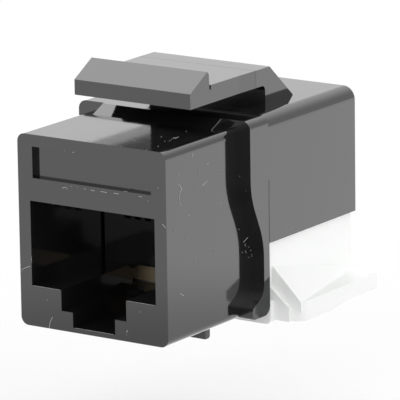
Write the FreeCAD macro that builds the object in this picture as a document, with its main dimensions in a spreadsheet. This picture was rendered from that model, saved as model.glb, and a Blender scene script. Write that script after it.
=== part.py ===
import FreeCAD, Part
import os
import Sketcher

# Keystone jack, in millimetres.  X runs to the right seen from the socket side,
# Y runs from the socket face towards the rear, Z runs up.  The origin is the
# middle of the socket's mouth.  Inside each body heights are counted from the
# underside of the front box, and the body's placement lowers it to the origin.

# ---------------------------------------------------------------- sizes
# Every size that can be chosen by itself, once.
SIZES = {
    # front box and its socket
    "box_width": 14.5,
    "box_height": 15.95,
    "box_round": 0.7,
    "port_width": 12.2,
    "port_floor": 3.38,
    "port_roof": 10.45,
    "notch_width": 6.4,
    "notch_floor": 1.65,
    "keyway_width": 4.16,
    "keyway_floor": 0.4,
    "label_width": 11.6,
    "label_floor": 12.35,
    "label_roof": 14.95,
    "label_depth": 0.5,
    "chamber_width": 11.8,
    "chamber_roof": 15.0,
    "face_wall": 2.3,
    "well_floor": 1.1,
    # flange with its curved front on the right
    "flange_front": 10.2,
    "seam_place": 12.85,
    "flange_bottom": 0.08,
    "flange_round": 0.75,
    "step_back": 1.83,
    "bend_upper": 10.4,
    "bend_lower": 6.35,
    "foot_back": 1.9,
    "foot_top": 1.0,
    "foot_front": 10.31,
    "bend_round": 6.5,
    "foot_hollow": 1.5,
    "foot_round": 0.25,
    "heel_round": 0.8,
    # ramp under the latch and lug under the box
    "ramp_width": 11.7,
    "ramp_front": 8.5,
    "ramp_crest": 9.95,
    "lug_width": 10.8,
    "lug_front": 7.93,
    "lug_thick": 0.65,
    "lug_drop": 1.38,
    "lug_round": 0.25,
    # rear body
    "rear_width": 16.95,
    "rear_top": 16.62,
    "cover_bottom": 6.02,
    "cover_wall": 1.3,
    "cover_round": 1.1,
    "cover_edge": 0.2,
    # latch
    "arm_width": 11.5,
    "arm_top": 19.63,
    "arm_thick": 1.45,
    "hinge_place": 15.19,
    "hinge_clearance": 0.03,
    "root_front": 16.56,
    "root_crown": 17.24,
    "root_back": 20.7,
    "root_hollow": 0.45,
    "hook_front": 5.84,
    "hook_foot": 18.13,
    "hook_brow": 19.4,
    "ridge_place": 8.28,
    "ridge_top": 20.78,
    "ridge_back": 8.51,
    "ridge_slope": 0.2,
    "heel_place": 8.59,
    "heel_groove": 0.37,
    "waist_place": 12.89,
    "waist_inset": 0.06,
    # board
    "board_thick": 1.0,
    "board_width": 13.6,
    "board_bottom": 1.2,
    "board_top": 15.1,
    # socket contacts and their carrier
    "wire": 0.4,
    "wire_pitch": 1.02,
    "wire_groove": 0.6,
    "wire_hole": 0.62,
    "wire_end": 0.3,
    "tail_low": 13.0,
    "tail_high": 14.0,
    "nose_place": 4.3,
    "nose_bottom": 10.0,
    "leg_reach": 0.55,
    "leg_low": 8.0,
    "leg_depth": 0.46,
    "nose_round": 0.35,
    "sled_front": 4.9,
    "sled_bottom": 11.3,
    "sled_wall": 2.9,
    "foot_reach": 2.5,
    "foot_tip": 4.25,
    "foot_low": 2.4,
    "foot_thick": 0.7,
    "comb_depth": 0.9,
    "comb_bottom": 7.2,
    "comb_top": 9.6,
    # insulation displacement block and clips
    "block_bottom": 1.78,
    "block_top": 8.48,
    "block_width": 13.6,
    "block_end": 1.34,
    "block_rear_gap": 0.15,
    "lane_width": 4.6,
    "lane_top": 5.68,
    "wire_slot": 0.9,
    "wire_slot_top": 5.08,
    "clip_sheet": 0.4,
    "clip_width": 1.9,
    "clip_pitch": 2.45,
    "clip_first": 1.85,
    "clip_spread": 4.4,
    "clip_tip": 2.08,
    "clip_shoulder": 6.88,
    "clip_gap": 0.32,
    "clip_gap_top": 4.78,
    "clip_neck": 0.8,
    "tail_first": 7.78,
    "tail_step": 1.35,
    "tail_depth": 0.6,
    "tail_hole": 0.8,
    # wire cap
    "cap_wall": 1.2,
    "cap_inset": 0.35,
    "cap_gap": 0.05,
    "cap_rear_inset": 0.24,
    "cap_rear_wall": 1.15,
    "cap_front_gap": 0.09,
    "cap_front_wall": 0.8,
    "cap_front_top": 1.1,
    "cap_front_bottom": -0.87,
    "cap_front_inset": 0.05,
    "cap_front_round": 0.45,
    "cap_bottom": -0.52,
    "wing_reach": 2.85,
    "wing_top": 1.14,
    "wing_rise": 0.35,
    "wing_rise_start": 18.09,
    "wing_rise_end": 20.79,
    "wing_front_round": 0.9,
    "wing_rear_round": 0.35,
    "flare_height": 2.75,
    "flare_tail": 0.3,
    "flare_set": 0.05,
    "skirt_thick": 0.4,
    "skirt_top": 2.2,
    "skirt_reach": 1.85,
    "skirt_tip": 0.6,
    "cable_way_width": 5.0,
    "cable_notch_depth": 3.0,
    "press_width": 0.5,
    "press_top": 4.38,
    "press_reach": 1.3,
}

WIRE_COUNT = 8
CLIPS_PER_ROW = 4

doc = FreeCAD.newDocument("keystone_jack")
sheet = doc.addObject("Spreadsheet::Sheet", "Sizes")
for row, (alias, number) in enumerate(SIZES.items(), start=1):
    sheet.set("A%d" % row, alias)
    sheet.set("B%d" % row, str(number))
    sheet.setAlias("B%d" % row, alias)
doc.recompute()


class Size:
    """A length kept two ways: the text bound to the sheet and its present value."""

    def __init__(self, text, value):
        self.text = text
        self.value = value

    def __add__(self, other):
        other = as_size(other)
        return Size("(%s + %s)" % (self.text, other.text), self.value + other.value)

    def __sub__(self, other):
        other = as_size(other)
        return Size("(%s - %s)" % (self.text, other.text), self.value - other.value)

    def __mul__(self, other):
        other = as_size(other)
        return Size("(%s * %s)" % (self.text, other.text), self.value * other.value)

    def __truediv__(self, other):
        other = as_size(other)
        return Size("(%s / %s)" % (self.text, other.text), self.value / other.value)

    def __neg__(self):
        return Size("(0 - %s)" % self.text, -self.value)


def as_size(number):
    if isinstance(number, Size):
        return number
    return Size("%.6g" % number, float(number))


def named(alias):
    return Size("Sizes.%s" % alias, SIZES[alias])


# ---------------------------------------------------------------- tools
PLANES = {"X": "YZ_Plane", "Y": "XZ_Plane", "Z": "XY_Plane"}


def new_body(label):
    """A body whose heights count from the underside of the front box."""
    body = doc.addObject("PartDesign::Body", label)
    body.Label = label
    body.setExpression("Placement.Base.z", "-(Sizes.port_floor + Sizes.port_roof) / 2")
    return body


def origin_plane(body, axis):
    return [item for item in body.Origin.OriginFeatures if item.Role == PLANES[axis]][0]


def new_sketch(body, name, axis, level):
    """An empty sketch square to an axis; the level is measured along that axis."""
    sketch = body.newObject("Sketcher::SketchObject", name)
    sketch.AttachmentSupport = [(origin_plane(body, axis), "")]
    sketch.MapMode = "FlatFace"
    level = as_size(level)
    if axis == "Y":
        level = -level
    sketch.setExpression("AttachmentOffset.Base.z", level.text)
    return sketch


def pin_point(sketch, edge, end, across, up):
    """Hold one end of a sketch edge at a place bound to the sheet."""
    for kind, place in (("DistanceX", across), ("DistanceY", up)):
        number = sketch.addConstraint(Sketcher.Constraint(kind, -1, 1, edge, end, place.value))
        sketch.setExpression("Constraints[%d]" % number, place.text)


def add_outline(sketch, points):
    """A closed outline of straight lines with every corner bound to the sheet."""
    points = [(as_size(across), as_size(up)) for across, up in points]
    count = len(points)
    for index in range(count):
        here = FreeCAD.Vector(points[index][0].value, points[index][1].value, 0)
        there = points[(index + 1) % count]
        there = FreeCAD.Vector(there[0].value, there[1].value, 0)
        sketch.addGeometry(Part.LineSegment(here, there), False)
    for index in range(count):
        sketch.addConstraint(Sketcher.Constraint("Coincident", index, 2, (index + 1) % count, 1))
    for index, (across, up) in enumerate(points):
        pin_point(sketch, index, 1, across, up)


def extrude(body, name, axis, low, high, sketch, cut):
    """Pad or pocket a sketch that lies at the low end (high end along Y)."""
    kind = "PartDesign::Pocket" if cut else "PartDesign::Pad"
    before = body.Shape.Volume if cut else 0.0
    feature = body.newObject(kind, name)
    feature.Profile = sketch
    feature.setExpression("Length", (as_size(high) - as_size(low)).text)
    feature.Reversed = cut
    doc.recompute()
    if not feature.isValid():
        raise ValueError("%s can't be made" % name)
    if cut and feature.Shape.Volume >= before - 1e-6:
        raise ValueError("%s removed nothing" % name)
    return feature


def prism(body, name, axis, low, high, points, cut=False):
    """A straight prism between two levels of an axis."""
    level = high if axis == "Y" else low
    sketch = new_sketch(body, name + "_sketch", axis, level)
    add_outline(sketch, points)
    return extrude(body, name, axis, low, high, sketch, cut)


def brick(body, name, across, along, up, cut=False):
    """A rectangular block given by its two ends in X, Y and Z."""
    x0, x1 = across
    y0, y1 = along
    corners = [(x0, y0), (x1, y0), (x1, y1), (x0, y1)]
    return prism(body, name, "Z", up[0], up[1], corners, cut)


def round_hole(body, name, centre, diameter, along):
    """A round hole along Y."""
    across, up = as_size(centre[0]), as_size(centre[1])
    sketch = new_sketch(body, name + "_sketch", "Y", along[1])
    middle = FreeCAD.Vector(across.value, up.value, 0)
    circle = Part.Circle(middle, FreeCAD.Vector(0, 0, 1), diameter.value / 2)
    sketch.addGeometry(circle, False)
    pin_point(sketch, 0, 3, across, up)
    number = sketch.addConstraint(Sketcher.Constraint("Diameter", 0, diameter.value))
    sketch.setExpression("Constraints[%d]" % number, diameter.text)
    return extrude(body, name, "Y", along[0], along[1], sketch, True)


def straight_edge(direction, first, second, span=None):
    """A test for edges along one axis at a place given by the other two axes."""
    axis = "XYZ".index(direction)
    others = [number for number in range(3) if number != axis]
    wanted = (as_size(first).value, as_size(second).value)

    def test(edge):
        if len(edge.Vertexes) != 2:
            return False
        ends = [vertex.Point for vertex in edge.Vertexes]
        for other, place in zip(others, wanted):
            if any(abs(end[other] - place) > 1e-4 for end in ends):
                return False
        if span is None:
            return True
        low = min(end[axis] for end in ends)
        high = max(end[axis] for end in ends)
        return low > as_size(span[0]).value - 1e-4 and high < as_size(span[1]).value + 1e-4

    return test


def soften(body, name, radius, tests, kind="PartDesign::Fillet"):
    """Round the edges that pass one of the tests."""
    base = body.Tip
    chosen = []
    for number, edge in enumerate(base.Shape.Edges, start=1):
        if any(test(edge) for test in tests):
            chosen.append("Edge%d" % number)
    if len(chosen) < len(tests):
        raise ValueError("%s found %d edges for %d places" % (name, len(chosen), len(tests)))
    feature = body.newObject(kind, name)
    feature.Base = (base, chosen)
    prop = "Radius" if kind.endswith("Fillet") else "Size"
    feature.setExpression(prop, radius.text)
    doc.recompute()
    if not feature.isValid():
        raise ValueError("%s can't be made" % name)
    return feature


# ---------------------------------------------------------------- shared places
box_half = named("box_width") / 2
box_top = named("box_height")
seam = named("seam_place")
flange_front = named("flange_front")
rear_half = named("rear_width") / 2
rear_left = -rear_half
rear_right = rear_half
rear_top = named("rear_top")
port_half = named("port_width") / 2
chamber_half = named("chamber_width") / 2
arm_half = named("arm_width") / 2
arm_top = named("arm_top")
arm_low = arm_top - named("arm_thick")
hinge = named("hinge_place")
board_rear = seam + named("board_thick")
board_half = named("board_width") / 2
wire = named("wire")
cover_bottom = named("cover_bottom")
cover_inner = rear_half - named("cover_wall")
cover_ceiling = rear_top - named("cover_wall")
last_clip = board_rear + named("clip_first") + named("clip_pitch") * (CLIPS_PER_ROW - 1)
block_rear = last_clip + named("block_end")
cap_rear = block_rear + named("block_rear_gap") + named("cap_rear_wall")
cover_rear = cap_rear + named("cap_rear_inset")
cover_back = cover_rear - named("cover_wall")
cap_half = rear_half - named("cap_inset")
cap_inner = cap_half - named("cap_wall")
cap_start = seam + named("cap_front_gap")
cap_inside = cap_start + named("cap_front_wall")
cap_top = cover_bottom - named("cap_gap")
wing_half = cap_half + named("wing_reach")
wing_top = named("wing_top")
cap_bottom = named("cap_bottom")
wing_heel = cap_bottom + named("wing_rise")
WIRE_PLACES = [(index - (WIRE_COUNT - 1) / 2) for index in range(WIRE_COUNT)]


def wire_middle(index):
    return named("wire_pitch") * WIRE_PLACES[index]


def wire_tail(index):
    return named("tail_high") if index % 2 else named("tail_low")


def clip_column(side):
    return named("clip_spread") * side


def clip_place(step):
    return board_rear + named("clip_first") + named("clip_pitch") * step


def clip_tail(step):
    return named("tail_first") + named("tail_step") * step


CLIPS = [(side, step) for side in (-1, 1) for step in range(CLIPS_PER_ROW)]

# ---------------------------------------------------------------- front housing
front = new_body("front_housing")
brick(front, "box", (-box_half, box_half), (0, seam), (0, box_top))
soften(front, "box_edges", named("box_round"), [
    straight_edge("Y", -box_half, 0),
    straight_edge("Y", box_half, 0),
    straight_edge("Y", -box_half, box_top),
    straight_edge("Y", box_half, box_top),
])
step = flange_front + named("step_back")
foot_top = named("foot_top")
foot_front = named("foot_front")
flange_bottom = named("flange_bottom")
prism(front, "flange", "X", rear_left, rear_right, [
    (seam, rear_top),
    (flange_front, rear_top),
    (flange_front, named("bend_upper")),
    (step, named("bend_lower")),
    (step, named("foot_back")),
    (foot_front, foot_top),
    (foot_front, flange_bottom),
    (seam, flange_bottom),
])
soften(front, "flange_bends", named("bend_round"), [
    straight_edge("X", flange_front, named("bend_upper")),
    straight_edge("X", step, named("bend_lower")),
])
soften(front, "foot_hollow_round", named("foot_hollow"), [
    straight_edge("X", step, named("foot_back")),
])
soften(front, "foot_edges", named("foot_round"), [
    straight_edge("X", foot_front, foot_top),
    straight_edge("X", foot_front, flange_bottom),
])
soften(front, "flange_heel", named("heel_round"), [
    straight_edge("X", seam, flange_bottom),
])
soften(front, "flange_shoulders", named("flange_round"), [
    straight_edge("Y", rear_left, rear_top),
    straight_edge("Y", rear_right, rear_top),
])
ramp_half = named("ramp_width") / 2
ramp_seat = box_top - named("box_round") / 2
prism(front, "ramp", "X", -ramp_half, ramp_half, [
    (named("ramp_front"), ramp_seat),
    (named("ramp_front"), box_top),
    (named("ramp_crest"), rear_top),
    (seam, rear_top),
    (seam, ramp_seat),
])
lug_half = named("lug_width") / 2
lug_back = named("lug_front") + named("lug_thick")
brick(front, "lug", (-lug_half, lug_half), (named("lug_front"), lug_back),
      (-named("lug_drop"), named("keyway_floor") / 2))
soften(front, "lug_edge", named("lug_round"), [
    straight_edge("X", lug_back, -named("lug_drop")),
])
brick(front, "port", (-port_half, port_half), (-1, seam + 1),
      (named("port_floor"), named("port_roof")), cut=True)
notch_half = named("notch_width") / 2
brick(front, "notch", (-notch_half, notch_half), (-1, seam + 1),
      (named("notch_floor"), named("port_roof")), cut=True)
keyway_half = named("keyway_width") / 2
brick(front, "keyway", (-keyway_half, keyway_half), (-1, seam + 1),
      (named("keyway_floor"), named("port_roof")), cut=True)
brick(front, "chamber", (-chamber_half, chamber_half), (named("face_wall"), seam + 1),
      (named("port_floor"), named("chamber_roof")), cut=True)
brick(front, "well", (-chamber_half, chamber_half), (seam - named("sled_wall"), seam + 1),
      (named("well_floor"), named("port_roof")), cut=True)
label_half = named("label_width") / 2
brick(front, "label_recess", (-label_half, label_half), (-1, named("label_depth")),
      (named("label_floor"), named("label_roof")), cut=True)

# ---------------------------------------------------------------- rear cover
cover = new_body("rear_cover")
brick(cover, "shell", (rear_left, rear_right), (seam, cover_rear),
      (cover_bottom, rear_top))
soften(cover, "shell_rounds", named("cover_round"), [
    straight_edge("Y", rear_left, rear_top),
    straight_edge("Y", rear_right, rear_top),
])
arm_left = -arm_half
arm_right = arm_half
root_seat = rear_top - named("cover_wall") / 2
prism(cover, "latch_root", "X", arm_left, arm_right, [
    (hinge, arm_low),
    (named("root_front"), arm_low),
    (named("root_front"), root_seat),
    (named("root_back"), root_seat),
    (named("root_back"), rear_top),
    (named("root_crown"), arm_top),
    (hinge, arm_top),
])
soften(cover, "root_inner", named("root_hollow"), [
    straight_edge("X", named("root_front"), arm_low),
])
brick(cover, "hollow", (-cover_inner, cover_inner),
      (seam - 1, cover_back), (cover_bottom - 1, cover_ceiling), cut=True)

# ---------------------------------------------------------------- latch arm
latch = new_body("latch_arm")
heel = named("heel_place")
arm_end = hinge - named("hinge_clearance")
arm_points = [
    (named("hook_front"), named("hook_foot")),
    (named("hook_front"), named("hook_brow")),
    (named("ridge_place"), named("ridge_top")),
    (named("ridge_back"), named("ridge_top") - named("ridge_slope")),
    (heel, arm_top - named("heel_groove")),
    (heel + named("heel_groove") / 2, arm_top - named("heel_groove")),
    (heel + named("heel_groove") / 2, arm_top),
    (arm_end, arm_top),
    (arm_end, arm_low),
]
prism(latch, "arm", "X", arm_left, arm_right, arm_points)
waist_inset = named("waist_inset")
for name, side, outer in (("waist_left", 1, arm_left), ("waist_right", -1, arm_right)):
    inner = outer + waist_inset * side
    prism(latch, name, "Z", named("hook_foot") - 1, named("ridge_top") + 1, [
        (outer - 1 * side, named("hook_front") - 1),
        (inner, named("hook_front") - 1),
        (inner, named("waist_place")),
        (outer, arm_end),
        (outer - 1 * side, arm_end),
    ], cut=True)
# ---------------------------------------------------------------- circuit board
board = new_body("circuit_board")
brick(board, "board", (-board_half, board_half), (seam, board_rear),
      (named("board_bottom"), named("board_top")))
for index in range(WIRE_COUNT):
    round_hole(board, "wire_hole_%d" % (index + 1), (wire_middle(index), wire_tail(index)),
               named("wire_hole"), (seam - 1, board_rear + 1))
for number, (side, step_index) in enumerate(CLIPS, start=1):
    round_hole(board, "clip_hole_%d" % number, (clip_column(side), clip_tail(step_index)),
               named("tail_hole"), (seam - 1, board_rear + 1))

# ---------------------------------------------------------------- contact carrier
sled = new_body("contact_carrier")
wall_front = seam - named("sled_wall")
brick(sled, "carrier_plate", (-chamber_half, chamber_half), (named("sled_front"), seam),
      (named("sled_bottom"), named("chamber_roof")))
brick(sled, "carrier_wall", (-chamber_half, chamber_half), (wall_front, seam),
      (named("port_floor"), named("sled_bottom")))
for word, side in (("left", -1), ("right", 1)):
    edge = chamber_half * side
    prism(sled, "foot_" + word, "Y", wall_front, wall_front + named("foot_thick"), [
        (edge, named("port_floor")),
        (named("foot_reach") * side, named("port_floor")),
        (named("foot_tip") * side, named("foot_low")),
        (edge, named("foot_low")),
    ])
groove_half = named("wire_groove") / 2
for index in range(WIRE_COUNT):
    middle = wire_middle(index)
    sides = (middle - groove_half, middle + groove_half)
    brick(sled, "groove_%d" % (index + 1), sides, (named("sled_front") - 1, seam + 1),
          (named("sled_bottom") - wire, wire_tail(index) + wire / 2), cut=True)
    brick(sled, "comb_%d" % (index + 1), sides,
          (wall_front - 1, wall_front + named("comb_depth")),
          (named("comb_bottom"), named("comb_top")), cut=True)

# ---------------------------------------------------------------- socket contacts
wire_bodies = []
nose = named("nose_place")
leg_end = wall_front + named("leg_reach")
leg_depth = named("leg_depth")
for index in range(WIRE_COUNT):
    contact = new_body("contact_%d" % (index + 1))
    tail = wire_tail(index)
    middle = wire_middle(index)
    tail_end = board_rear + named("wire_end")
    nose_low = named("nose_bottom")
    prism(contact, "strip", "X", middle - wire / 2, middle + wire / 2, [
        (tail_end, tail + wire / 2),
        (nose, tail + wire / 2),
        (nose, nose_low),
        (leg_end, named("leg_low")),
        (leg_end, named("leg_low") + leg_depth),
        (nose + wire, nose_low + leg_depth),
        (nose + wire, tail - wire / 2),
        (tail_end, tail - wire / 2),
    ])
    soften(contact, "bends", named("nose_round"), [
        straight_edge("X", nose, tail + wire / 2),
        straight_edge("X", nose, nose_low),
    ])
    wire_bodies.append(contact)

# ---------------------------------------------------------------- terminal block
block = new_body("idc_block")
block_half = named("block_width") / 2
shoulder = cover_bottom
brick(block, "towers", (-block_half, block_half),
      (board_rear, block_rear), (named("block_bottom"), shoulder))
brick(block, "head", (-cover_inner, cover_inner),
      (board_rear, cover_back), (shoulder, named("block_top")))
lane_half = named("lane_width") / 2
brick(block, "wire_lane", (-lane_half, lane_half),
      (board_rear - 1, block_rear + 1),
      (named("block_bottom") - 1, named("lane_top")), cut=True)
sheet_half = named("clip_sheet") / 2
slot_half = named("wire_slot") / 2
clip_half = named("clip_width") / 2
last_clip = clip_place(CLIPS_PER_ROW - 1)
for side, word in ((-1, "left"), (1, "right")):
    column = clip_column(side)
    brick(block, "strip_slit_" + word, (column - sheet_half, column + sheet_half),
          (board_rear - 1, last_clip + clip_half),
          (named("clip_shoulder"), named("block_top") + 1), cut=True)
for step_index in range(CLIPS_PER_ROW):
    place = clip_place(step_index)
    brick(block, "wire_slot_%d" % (step_index + 1),
          (-block_half - 1, block_half + 1),
          (place - slot_half, place + slot_half),
          (named("block_bottom") - 1, named("wire_slot_top")), cut=True)
for number, (side, step_index) in enumerate(CLIPS, start=1):
    column = clip_column(side)
    place = clip_place(step_index)
    brick(block, "blade_pocket_%d" % number, (column - sheet_half, column + sheet_half),
          (place - clip_half, place + clip_half),
          (named("block_bottom") - 1, named("clip_shoulder") + 0.5), cut=True)

# ---------------------------------------------------------------- terminal clips
clip_bodies = []
gap_half = named("clip_gap") / 2
neck_half = named("clip_neck") / 2
tail_half = named("tail_depth") / 2
for number, (side, step_index) in enumerate(CLIPS, start=1):
    clip = new_body("idc_clip_%d" % number)
    column = clip_column(side)
    place = clip_place(step_index)
    level = clip_tail(step_index)
    tip = named("clip_tip")
    crown = named("clip_shoulder")
    prism(clip, "stamping", "X", column - sheet_half, column + sheet_half, [
        (place - clip_half, tip),
        (place - gap_half, tip),
        (place - gap_half, named("clip_gap_top")),
        (place + gap_half, named("clip_gap_top")),
        (place + gap_half, tip),
        (place + clip_half, tip),
        (place + clip_half, crown),
        (place + neck_half, crown),
        (place + neck_half, level + tail_half),
        (seam, level + tail_half),
        (seam, level - tail_half),
        (place - neck_half, level - tail_half),
        (place - neck_half, crown),
        (place - clip_half, crown),
    ])
    clip_bodies.append(clip)

# ---------------------------------------------------------------- wire cap
cap = new_body("wire_cap")
front_half = rear_half - named("cap_front_inset")
brick(cap, "front_wall", (-front_half, front_half),
      (cap_start, cap_inside), (named("cap_front_bottom"), named("cap_front_top")))
soften(cap, "front_corners", named("cap_front_round"), [
    straight_edge("Y", -front_half, named("cap_front_bottom")),
    straight_edge("Y", front_half, named("cap_front_bottom")),
])
prism(cap, "base", "X", -wing_half, wing_half, [
    (cap_inside, cap_bottom),
    (named("wing_rise_start"), cap_bottom),
    (named("wing_rise_end"), wing_heel),
    (cap_rear, wing_heel),
    (cap_rear, wing_top),
    (cap_inside, wing_top),
])
soften(cap, "wing_front", named("wing_front_round"), [
    straight_edge("Z", -wing_half, cap_inside),
    straight_edge("Z", wing_half, cap_inside),
])
soften(cap, "wing_rear", named("wing_rear_round"), [
    straight_edge("Z", -wing_half, cap_rear),
    straight_edge("Z", wing_half, cap_rear),
])
half_wing_top = (cap_bottom + wing_top) / 2
for word, side in (("left", -1), ("right", 1)):
    faces = sorted([cap_half * side, cap_inner * side],
                   key=lambda place: place.value)
    brick(cap, "wall_" + word, faces, (cap_start, cap_rear), (half_wing_top, cap_top))
brick(cap, "wall_rear", (-cap_half, cap_half),
      (cap_rear - named("cap_rear_wall"), cap_rear), (half_wing_top, cap_top))
way_half = named("cable_way_width") / 2
brick(cap, "cable_way", (-way_half, way_half),
      (cap_rear - named("cap_rear_wall") - 1, cap_rear + 1),
      (wing_top, cap_top + 1), cut=True)
brick(cap, "cable_notch", (-way_half, way_half),
      (cap_rear - named("cable_notch_depth"), cap_rear + 1),
      (cap_bottom - 1, wing_top + 1), cut=True)


def flare_outline(sketch, side, height):
    """The gusset's section: wall side, underside, tip and slope, all scaled by its height."""
    edge = cap_half * side
    inner = edge - named("cap_wall") / 2 * side
    tip = edge + (named("wing_reach") - named("flare_set")) * height / named("flare_height") * side
    add_outline(sketch, [
        (inner, wing_top + height),
        (inner, half_wing_top),
        (tip, half_wing_top),
        (tip, wing_top),
        (edge, wing_top + height),
    ])


for word, side in (("left", -1), ("right", 1)):
    near = new_sketch(cap, "flare_near_" + word, "Y", cap_inside)
    flare_outline(near, side, named("flare_height"))
    far = new_sketch(cap, "flare_far_" + word, "Y", cap_rear - named("wing_rear_round"))
    flare_outline(far, side, named("flare_tail"))
    loft = cap.newObject("PartDesign::AdditiveLoft", "flare_" + word)
    loft.Profile = near
    loft.Sections = [far]
    loft.Ruled = True
    doc.recompute()

for word, side in (("left", -1), ("right", 1)):
    edge = cap_half * side
    corner = edge + named("skirt_reach") * side
    prism(cap, "skirt_" + word, "Y", cap_inside - named("skirt_thick"), cap_inside, [
        (edge - named("cap_wall") / 2 * side, named("skirt_top")),
        (edge, named("skirt_top")),
        (corner, named("skirt_tip")),
        (corner, cap_bottom),
        (edge - named("cap_wall") / 2 * side, cap_bottom),
    ])

press_half = named("press_width") / 2
for step_index in range(CLIPS_PER_ROW):
    place = clip_place(step_index)
    for word, side in (("left", -1), ("right", 1)):
        column = clip_column(side)
        for part, lean in (("inner", -1), ("outer", 1)):
            start = column + (sheet_half + 0.3) * lean
            end = start + named("press_reach") * lean
            sides = sorted([start, end], key=lambda spot: spot.value)
            brick(cap, "press_%s_%s_%d" % (word, part, step_index + 1), sides,
                  (place - press_half, place + press_half), (half_wing_top, named("press_top")))

doc.recompute()

# ---------------------------------------------------------------- check and write
nodes = [front, cover, latch, board, sled, block, cap] + wire_bodies + clip_bodies
for item in doc.Objects:
    if "Invalid" in item.State or "Error" in item.State:
        raise ValueError("%s is not sound: %s" % (item.Name, item.State))
os.makedirs("parts", exist_ok=True)
for node in nodes:
    shape = node.Shape
    if shape.isNull() or not shape.isValid() or len(shape.Solids) != 1:
        raise ValueError("%s has no single sound solid (%d)" % (node.Label, len(shape.Solids)))
    shape.exportStep("parts/%s.step" % node.Label)
    print("%-16s %8.2f mm3" % (node.Label, shape.Volume))
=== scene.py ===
import bpy
import bmesh
from mathutils import Matrix, Vector


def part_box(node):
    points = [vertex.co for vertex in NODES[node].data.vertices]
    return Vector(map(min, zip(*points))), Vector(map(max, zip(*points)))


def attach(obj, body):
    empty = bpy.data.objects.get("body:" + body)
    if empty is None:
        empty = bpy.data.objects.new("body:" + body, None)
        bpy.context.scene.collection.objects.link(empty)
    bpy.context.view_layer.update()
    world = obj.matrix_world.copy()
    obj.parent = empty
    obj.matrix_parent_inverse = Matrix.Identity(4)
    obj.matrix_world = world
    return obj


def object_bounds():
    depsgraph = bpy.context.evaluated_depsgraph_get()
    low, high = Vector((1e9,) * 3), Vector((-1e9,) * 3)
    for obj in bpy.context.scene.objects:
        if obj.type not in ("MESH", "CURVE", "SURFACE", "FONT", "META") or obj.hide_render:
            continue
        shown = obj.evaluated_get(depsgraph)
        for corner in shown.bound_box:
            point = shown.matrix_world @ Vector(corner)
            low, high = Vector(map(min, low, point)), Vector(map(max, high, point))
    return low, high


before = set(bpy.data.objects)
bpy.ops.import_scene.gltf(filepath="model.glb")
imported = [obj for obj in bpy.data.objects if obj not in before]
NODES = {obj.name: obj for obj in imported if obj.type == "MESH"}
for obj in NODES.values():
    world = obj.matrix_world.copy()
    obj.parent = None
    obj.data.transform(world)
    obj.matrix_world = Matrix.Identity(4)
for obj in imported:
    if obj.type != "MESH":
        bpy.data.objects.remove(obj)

# %% [markdown]
# The keystone jack comes in as finished solids: a black front box with the socket, a black rear
# cover, a latch arm, a white wire cap and the small metal and board pieces inside.  Their shapes
# are right already, so this lesson is about finishes, dust, light and camera.  The first cell keeps
# the box round the solids, from which the floor is placed later.

# %% Keep the size of the bare solids
SOLID_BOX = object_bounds()
print("solids:", len(NODES), "size mm:", [round(1000 * v, 2) for v in SOLID_BOX[1] - SOLID_BOX[0]])

# %% [markdown]
# The camera stands to the right of the socket side, a little above it and far away, with a long
# lens, as in a product picture on a light table.  Its place is written in metres from the middle
# of the socket's mouth, and its turn is given by the three directions of its own axes: right, up
# and back.  A matrix with those columns turns the camera in one step, with no tracking to set up.

# %% Camera
camera = bpy.data.objects.new("camera", bpy.data.cameras.new("camera"))
bpy.context.scene.collection.objects.link(camera)
CAMERA_RIGHT = Vector((0.82643, 0.56286, -0.01402))
CAMERA_UP = Vector((-0.12086, 0.20167, 0.97197))
CAMERA_BACK = Vector((0.54991, -0.80157, 0.23469))
CAMERA_PLACE = Vector((0.200723, -0.277279, 0.086826))
turn = Matrix((CAMERA_RIGHT, CAMERA_UP, CAMERA_BACK)).transposed()
camera.matrix_world = Matrix.Translation(CAMERA_PLACE) @ turn.to_4x4()
camera.data.sensor_width = 36.0
camera.data.lens = 397.16
camera.data.clip_start = 0.01
camera.data.clip_end = 10.0
bpy.context.scene.camera = camera
print("camera distance mm:", round(1000 * CAMERA_PLACE.length, 1))

# %% [markdown]
# Every finish is a small node tree.  Two helpers keep the trees readable: one turns a colour
# written as the usual six-digit code into the linear values that the renderer works in, and one
# adds any node with its settings and its links in a single line.

# %% Colour and node helpers


def linear(code):
    """A six-digit colour code as linear red, green, blue and full opacity."""
    parts = [int(code[place:place + 2], 16) / 255 for place in (1, 3, 5)]
    return [v / 12.92 if v <= 0.04045 else ((v + 0.055) / 1.055) ** 2.4 for v in parts] + [1.0]


def add(tree, kind, settings=None, **links):
    """One node with its settings, and its inputs set to values or linked to other sockets."""
    node = tree.nodes.new(kind)
    for name, value in (settings or {}).items():
        setattr(node, name, value)
    for name, value in links.items():
        socket = node.inputs[int(name[1:])] if name[1:].isdigit() else node.inputs[name.replace("_", " ")]
        if isinstance(value, bpy.types.NodeSocket):
            tree.links.new(value, socket)
        else:
            socket.default_value = value
    return node


def new_material(name):
    """An empty material and its node tree."""
    material = bpy.data.materials.new(name)
    material.use_nodes = True
    material.node_tree.nodes.clear()
    return material, material.node_tree


print("black plastic in linear values:", [round(v, 4) for v in linear("#1a1a1b")[:3]])

# %% [markdown]
# The housing, the cover and the latch are injection-moulded ABS, polished to a gloss, in black.
# Such plastic has almost no colour of its own: its greys are reflections of the white
# surroundings, at an index of refraction near 1.5.  Moulding leaves a very slight waviness: a noise
# of 260 per metre, whose waves are about 4 mm long, makes it as a faint bump.  Handling dulls the
# gloss unevenly: a finer noise of 1400 per metre, in patches of about 0.7 mm, varies the roughness.

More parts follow.
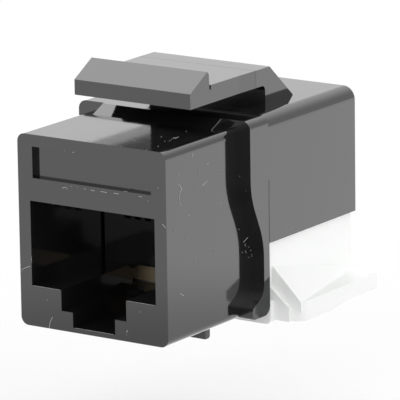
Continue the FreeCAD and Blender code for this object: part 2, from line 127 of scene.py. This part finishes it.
# %% Glossy black ABS
abs_black, tree = new_material("black moulded ABS, glossy")
place = add(tree, "ShaderNodeTexCoord").outputs["Object"]
wave = add(tree, "ShaderNodeTexNoise", Vector=place, Scale=260.0, Detail=1.0).outputs["Fac"]
grain = add(tree, "ShaderNodeTexNoise", Vector=place, Scale=1400.0, Detail=3.0).outputs["Fac"]
rough = add(tree, "ShaderNodeMapRange", _0=grain, _1=0.3, _2=0.7, _3=0.06, _4=0.10).outputs[0]
bump = add(tree, "ShaderNodeBump", Height=wave, Distance=0.00001, Strength=0.15).outputs["Normal"]
shader = add(tree, "ShaderNodeBsdfPrincipled", Base_Color=linear("#181819"), Roughness=rough,
             Normal=bump, IOR=1.5)
add(tree, "ShaderNodeOutputMaterial", Surface=shader.outputs[0])
for name in ("front_housing", "rear_cover", "latch_arm", "contact_carrier", "idc_block"):
    NODES[name].data.materials.clear()
    NODES[name].data.materials.append(abs_black)
print("finished:", abs_black.name)

# %% [markdown]
# The wire cap is moulded in white polycarbonate, a little softer in gloss.

# %% White polycarbonate
pc_white, tree = new_material("white moulded polycarbonate, satin")
place = add(tree, "ShaderNodeTexCoord").outputs["Object"]
grain = add(tree, "ShaderNodeTexNoise", Vector=place, Scale=900.0, Detail=2.0).outputs["Fac"]
rough = add(tree, "ShaderNodeMapRange", _0=grain, _1=0.3, _2=0.7, _3=0.30, _4=0.38).outputs[0]
shader = add(tree, "ShaderNodeBsdfPrincipled", Base_Color=linear("#f5f6f5"), Roughness=rough, IOR=1.5)
add(tree, "ShaderNodeOutputMaterial", Surface=shader.outputs[0])
NODES["wire_cap"].data.materials.clear()
NODES["wire_cap"].data.materials.append(pc_white)
print("finished:", pc_white.name)

# %% [markdown]
# The contacts are gold-plated, the clips are tinned, and the board is a natural, sand-coloured
# laminate, of which a little shows through the socket.  They are nearly hidden, so each is one plain
# colour with no pattern.

# %% Inner metals and board
gold, tree = new_material("gold plating on spring bronze")
shader = add(tree, "ShaderNodeBsdfPrincipled", Base_Color=linear("#e0b45c"), Metallic=1.0, Roughness=0.25)
add(tree, "ShaderNodeOutputMaterial", Surface=shader.outputs[0])
tin, tree = new_material("tin plating on phosphor bronze")
shader = add(tree, "ShaderNodeBsdfPrincipled", Base_Color=linear("#d2d2cf"), Metallic=1.0, Roughness=0.35)
add(tree, "ShaderNodeOutputMaterial", Surface=shader.outputs[0])
laminate, tree = new_material("natural epoxy laminate")
shader = add(tree, "ShaderNodeBsdfPrincipled", Base_Color=linear("#e0cba8"), Roughness=0.45)
add(tree, "ShaderNodeOutputMaterial", Surface=shader.outputs[0])
for name, node in NODES.items():
    finish = gold if name.startswith("contact_") and name != "contact_carrier" else None
    finish = tin if name.startswith("idc_clip") else finish
    finish = laminate if name == "circuit_board" else finish
    if finish:
        node.data.materials.clear()
        node.data.materials.append(finish)
print("finished:", gold.name, "/", tin.name, "/", laminate.name)

# %% [markdown]
# This jack has been handled and not wiped: pale dust sits on it as specks and short fibres, with
# a few fine scratches between them.  Each one is a very thin round thread that follows its own
# points, and one curve object with many little splines holds those of the box, one those of the
# cover and one those of the latch.  A speck is a thread hardly longer than it is thick.  The places
# are in millimetres, one list for each face.  They weren't chosen by hand: another program worked
# them out on the planes of the faces, and later moved about a dozen onto the nearest surface.
# Four of the pale specks on the top, along its front edge, are not dust but painted highlights: glints
# where that edge catches the light.

# %% Dust, scratches and a few painted glints
MARKS = {
    "front": [
        ((-7.11, -0.01, -2.35), (-6.68, -0.01, -2.12), (-6.21, -0.01, -1.93)),
        ((-4.13, 0, -5.91), (-4.39, 0, -6.45), (-4.48, 0, -6.91)),
        ((6.88, -0.01, 3.24), (7.06, -0.01, 3.06), (7.19, -0.01, 2.97)),
        ((-2.89, -0.01, 4.95), (-2.59, -0.01, 5.07), (-2.34, -0.01, 5.03), (-2.49, -0.01, 4.9)),
        ((-0.03, -0.01, 5.14), (0.37, -0.01, 5.13)), ((0.95, -0.01, 5.15), (1.54, -0.01, 5.14)),
        ((2.22, -0.01, 5.17), (2.71, -0.01, 5.17)), ((3.2, -0.01, -6.16), (3.34, -0.01, -5.94)),
        ((-1.77, 0, 8.04), (-1.63, 0, 8.04)), ((-6.1, 0, -1.25), (-6.1, 0, -1.43)),
        ((4.65, -0.01, 5.21), (4.94, -0.01, 5.2)), ((-0.71, -0.01, 5.17), (-0.52, -0.01, 5.15)),
        ((-1.99, -0.01, 5.21),), ((-1.4, -0.01, 5.18),), ((-2.56, 0, 8.04),), ((-6.1, 0, -1.14),),
        ((-6.1, 0, -1.56),), ((3.19, -0.01, -6.37),), ((3.3, 0, 5.44),), ((3.42, -0.01, 5.43),),
        ((3.18, -0.01, 5.43),), ((5.51, -0.01, 4.94),), ((-3.82, 0, 3.53),), ((6.5, -0.01, 6.12),),
        ((-4.64, -0.01, -4.56),), ((4.55, -0.01, -4.28),),
    ],
    "side": [
        (
            (7.26, 1.73, 6.15), (7.26, 2.02, 5.94), (7.26, 2.17, 5.69), (7.26, 1.98, 5.48),
            (7.26, 1.84, 5.3), (7.26, 1.79, 5.04), (7.26, 1.88, 4.68), (7.26, 2.03, 4.37),
        ),
        ((7.26, 3.79, 8.29), (7.26, 3.74, 7.97)), ((7.26, 1.76, 7.11), (7.26, 1.79, 6.82)),
        ((7.26, 5.05, 5.37), (7.26, 5.47, 5.5), (7.26, 5.79, 5.6)),
        ((7.26, 7.84, 5.92), (7.26, 7.85, 5.74)), ((7.26, 7.63, 3.62), (7.26, 7.65, 3.4)),
        ((7.26, 1.73, -2.77), (7.26, 2.01, -2.93), (7.26, 2.29, -3.11)),
        ((7.26, 5.8, 6.99), (7.26, 6, 7.03)), ((7.26, 3.02, 3.47), (7.26, 3.16, 3.27)),
        ((7.26, 3.46, -4.32),), ((7.26, 4.65, 6.65),), ((7.26, 2.69, 1.57),), ((7.26, 6.1, 1.83),),
        ((7.26, 3.9, -0.67),), ((7.26, 1.03, 2.42),), ((7.26, 6.62, -0.35),),
        ((7.26, 10.87, -0.54), (7.26, 11.49, -0.28)), ((7.26, 11.04, -0.73),),
        ((7.26, 11.15, -0.84),), ((7.26, 11.08, -0.9),), ((7.26, 11.6, -1.12),),
        ((7.26, 10.65, -1.35),), ((7.26, 11.09, -1.36),), ((7.26, 11.89, -1.46),),
        ((7.26, 12.02, -1.82),), ((7.26, 11.51, -1.96),), ((7.26, 11.23, -1.52),),
        ((7.26, 12.85, -3.26),), ((7.26, 12.01, -1.96),),
    ],
    "strip": [
        ((7.25, 10.19, 0.68),), ((7.94, 10.27, 3.96),), ((7.4, 10.19, 5.09),),
    ],
    "top": [
        ((5.08, 3.66, 9.04),), ((4.74, 4.71, 9.04),), ((4.88, 5.22, 9.04),), ((5.03, 4.64, 9.04),),
        ((4.93, 4.16, 9.04),), ((3.71, 4.52, 9.04),), ((4.87, 3.33, 9.04),), ((5.44, 1.6, 9.04),),
        ((1.15, 6.6, 9.04),), ((4.3, 7.19, 9.04),), ((2.68, 2.24, 9.04),),
        # The last four specks here lie along the front edge of the top and are painted highlights, glints
        # on that edge.
        ((4.85, 4.62, 9.04), (4.92, 5.08, 9.04)), ((-0.59, 0.5, 9.04),), ((1.14, 0.28, 9.04),),
        ((2.9, 0.13, 9.04),), ((5.4, 0.01, 9.04),),
    ],
    "latch": [
        ((5.69, 5.84, 12.19),),
    ],
    "cover": [
        ((8.48, 15.91, -0.31),), ((8.48, 16.8, -0.63),),
    ],
}
DUST_AND_GLINT_RADIUS = 0.024
LATCH_DUST_RADIUS = 0.03
SPECK = Vector((0.00004, 0.00002, 0.00003))
# This pale finish serves the dust and also the painted glints on the top's front edge.
lint_and_glint, tree = new_material("pale dust and painted glints")
place = add(tree, "ShaderNodeTexCoord").outputs["Object"]
fleck_noise = add(tree, "ShaderNodeTexNoise", Vector=place, Scale=3000.0, Detail=1.0).outputs["Fac"]
tone = add(tree, "ShaderNodeMixRGB", Fac=fleck_noise, Color1=linear("#8e8e8c"), Color2=linear("#c9c9c6"))
shader = add(tree, "ShaderNodeBsdfPrincipled", Base_Color=tone.outputs[0], Roughness=0.9)
add(tree, "ShaderNodeOutputMaterial", Surface=shader.outputs[0])


def threads(name, runs, radius, finish):
    """Thin round threads along runs of points, all in millimetres, as one curve object."""
    curve = bpy.data.curves.new(name, "CURVE")
    curve.dimensions = "3D"
    curve.bevel_depth = 0.001 * radius
    curve.bevel_resolution = 1
    curve.use_fill_caps = True
    for run in runs:
        places = [Vector(spot) / 1000 for spot in run]
        if len(places) == 1:
            places.append(places[0] + SPECK)
        spline = curve.splines.new("POLY")
        spline.points.add(len(places) - 1)
        for point, spot in zip(spline.points, places):
            point.co = (*spot, 1.0)
    curve.materials.append(finish)
    piece = bpy.data.objects.new(name, curve)
    bpy.context.scene.collection.objects.link(piece)
    print(name, len(curve.splines), "threads")
    return piece


for name, faces, radius, body in (
    ("dust_and_glints_on_box", ("front", "side", "strip", "top"), DUST_AND_GLINT_RADIUS, "jack"),
    ("dust_on_cover", ("cover",), DUST_AND_GLINT_RADIUS, "jack"),
    ("dust_on_latch", ("latch",), LATCH_DUST_RADIUS, "latch"),
):
    piece = threads(name, [mark for face in faces for mark in MARKS[face]], radius, lint_and_glint)
    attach(piece, body)

# %% [markdown]
# Two kinds of fine line finish the housing.  Where the flange meets the rear cover, the parting line
# opens a little low on each side and shows as a dark hair.  Along the lower edges of the socket and
# the side edges of the ramp, light grey lines are painted highlights, where those edges catch the
# light.  They are threads as well, thinner than the dust, with their ends in millimetres.

# %% Parting line and painted edge highlights
PARTING_RADIUS = 0.022
EDGE_HIGHLIGHT_RADIUS = 0.016
PARTING = [
    ((8.475, 12.85, 4.38), (8.475, 12.85, -0.8)), ((-8.475, 12.85, 4.38), (-8.475, 12.85, -0.8)),
]
# These lines are painted highlights: light grey threads along the socket's lower edges and the ramp's
# side edges, where those edges catch the light.
EDGE_HIGHLIGHTS = [
    ((-6.0, 0.0, -3.535), (-3.35, 0.0, -3.535)), ((3.35, 0.0, -3.535), (6.0, 0.0, -3.535)),
    ((-1.9, 0.0, -6.515), (1.9, 0.0, -6.515)), ((5.85, 8.5, 9.035), (5.85, 9.95, 9.705)),
    ((-5.85, 8.5, 9.035), (-5.85, 9.95, 9.705)),
]
dark_gap, tree = new_material("open parting line")
shader = add(tree, "ShaderNodeBsdfPrincipled", Base_Color=linear("#0a0a0a"), Roughness=0.9)
add(tree, "ShaderNodeOutputMaterial", Surface=shader.outputs[0])
# This light grey finish paints those edge highlights; its noise only varies their brightness.
edge_highlight, tree = new_material("painted highlight on ABS edges")
place = add(tree, "ShaderNodeTexCoord").outputs["Object"]
highlight_noise = add(tree, "ShaderNodeTexNoise", Vector=place, Scale=1500.0, Detail=2.0).outputs["Fac"]
tone = add(tree, "ShaderNodeMixRGB", Fac=highlight_noise, Color1=linear("#4c4c4c"), Color2=linear("#a8a8a8"))
shader = add(tree, "ShaderNodeBsdfPrincipled", Base_Color=tone.outputs[0], Roughness=0.35)
add(tree, "ShaderNodeOutputMaterial", Surface=shader.outputs[0])
for name, runs, radius, finish in (
    ("parting_lines", PARTING, PARTING_RADIUS, dark_gap),
    ("painted_edge_highlights", EDGE_HIGHLIGHTS, EDGE_HIGHLIGHT_RADIUS, edge_highlight),
):
    piece = threads(name, runs, radius, finish)
    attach(piece, "jack")

# %% [markdown]
# A product like this is lit in a white tent, which lights it evenly and gives black plastic broad
# pale reflections.  The world does that here.  Bounced light sees a plain white at a strength of
# one.  Mirror reflections see a cloth that is brighter than plain white, more so overhead and less
# so behind the object, and these differences give each black face its own grey.  The levels were
# found by trial.  The camera itself sees plain white.

# %% Light tent
CLOTH_IN_FRONT = 2.3
CLOTH_BEHIND = 1.42
OVERHEAD_FACTOR = 2.0
world = bpy.data.worlds.new("light tent")
bpy.context.scene.world = world
world.use_nodes = True
tree = world.node_tree
tree.nodes.clear()
path = add(tree, "ShaderNodeLightPath")
seen = add(tree, "ShaderNodeMath", {"operation": "MAXIMUM"}, _0=path.outputs["Is Camera Ray"],
           _1=path.outputs["Is Transmission Ray"]).outputs[0]
way = add(tree, "ShaderNodeTexCoord").outputs["Generated"]
parts = add(tree, "ShaderNodeSeparateXYZ", Vector=way).outputs
behind = add(tree, "ShaderNodeMapRange", {"interpolation_type": "SMOOTHSTEP"}, _0=parts["Y"],
             _1=0.35, _2=0.85, _3=CLOTH_IN_FRONT, _4=CLOTH_BEHIND).outputs[0]
above = add(tree, "ShaderNodeMapRange", {"interpolation_type": "SMOOTHSTEP"}, _0=parts["Z"],
            _1=0.35, _2=0.85, _3=1.0, _4=OVERHEAD_FACTOR).outputs[0]
cloth = add(tree, "ShaderNodeMath", {"operation": "MULTIPLY"}, _0=behind, _1=above).outputs[0]
level = add(tree, "ShaderNodeMapRange", _0=path.outputs["Is Glossy Ray"], _3=1.0, _4=cloth).outputs[0]
level = add(tree, "ShaderNodeMapRange", _0=seen, _3=level, _4=1.0).outputs[0]
tent = add(tree, "ShaderNodeBackground", Color=(1, 1, 1, 1), Strength=level)
add(tree, "ShaderNodeOutputWorld", Surface=tent.outputs[0])
bpy.context.scene.view_settings.view_transform = "Standard"
print("tent as reflections see it:", CLOTH_BEHIND, "to", CLOTH_IN_FRONT * OVERHEAD_FACTOR)

# %% [markdown]
# Below the object lies a pale floor.  The wire cap comes off downwards, so the floor is a wide plane
# just under the lowest place that the cap reaches, and the object stays well clear of it with the
# cap on.  The floor isn't part of the object, so it belongs to no body.  Its material is nearly white
# to the camera and keeps a faint soft shadow, and reflections see it as bright cloth that is darker
# close to the object, because little light gets in there.  That is why the lower parts of the black
# sides are a darker grey than the rest.

# %% Floor
CAP_TRAVEL = 0.008
FLOOR_GAP = 0.0002
FLOOR_HALF = 1.5
FLOOR = min(SOLID_BOX[0].z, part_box("wire_cap")[0].z - CAP_TRAVEL) - FLOOR_GAP
mesh = bmesh.new()
bmesh.ops.create_grid(mesh, x_segments=1, y_segments=1, size=FLOOR_HALF)
bmesh.ops.translate(mesh, verts=mesh.verts, vec=(0.0, 0.0, FLOOR))
floor_mesh = bpy.data.meshes.new("floor")
mesh.to_mesh(floor_mesh)
mesh.free()
floor = bpy.data.objects.new("floor", floor_mesh)
bpy.context.scene.collection.objects.link(floor)
MIDDLE = (0.0, 0.008, 0.0)
DIM_NEAR, DIM_END, DIMMEST = 0.034, 0.064, 0.62
CLOTH_AHEAD, CLOTH_PAST = 2.19, 2.45
PALE_LEVEL, PALE_SHARE = 1.06, 0.62
paper, tree = new_material("pale paper sweep")
path = add(tree, "ShaderNodeLightPath").outputs
place = add(tree, "ShaderNodeTexCoord").outputs["Object"]
spot = add(tree, "ShaderNodeVectorMath", {"operation": "MULTIPLY"}, _0=place, _1=(1.0, 1.0, 0.0))
far = add(tree, "ShaderNodeVectorMath", {"operation": "DISTANCE"}, _0=spot.outputs[0],
          _1=MIDDLE).outputs["Value"]
near = add(tree, "ShaderNodeMapRange", {"interpolation_type": "SMOOTHSTEP"}, _0=far, _1=DIM_NEAR,
           _2=DIM_END, _3=DIMMEST, _4=1.0).outputs[0]
back = add(tree, "ShaderNodeSeparateXYZ", Vector=place).outputs["Y"]
back = add(tree, "ShaderNodeMapRange", _0=back, _1=-0.03, _2=0.03, _3=CLOTH_AHEAD,
           _4=CLOTH_PAST).outputs[0]
level = add(tree, "ShaderNodeMath", {"operation": "MULTIPLY"}, _0=near, _1=back).outputs[0]
cloth = add(tree, "ShaderNodeEmission", Color=(1, 1, 1, 1), Strength=level)
matt = add(tree, "ShaderNodeBsdfDiffuse", Color=linear("#f4f4f4"), Roughness=0.0)
pale = add(tree, "ShaderNodeEmission", Color=(1, 1, 1, 1), Strength=PALE_LEVEL)
soft = add(tree, "ShaderNodeMixShader", Fac=PALE_SHARE, _1=matt.outputs[0], _2=pale.outputs[0])
shown = add(tree, "ShaderNodeMixShader", Fac=path["Is Camera Ray"], _1=matt.outputs[0],
            _2=soft.outputs[0])
split = add(tree, "ShaderNodeMixShader", Fac=path["Is Glossy Ray"], _1=shown.outputs[0],
            _2=cloth.outputs[0])
add(tree, "ShaderNodeOutputMaterial", Surface=split.outputs[0])
floor_mesh.materials.append(paper)
print("floor height mm:", round(1000 * FLOOR, 2))
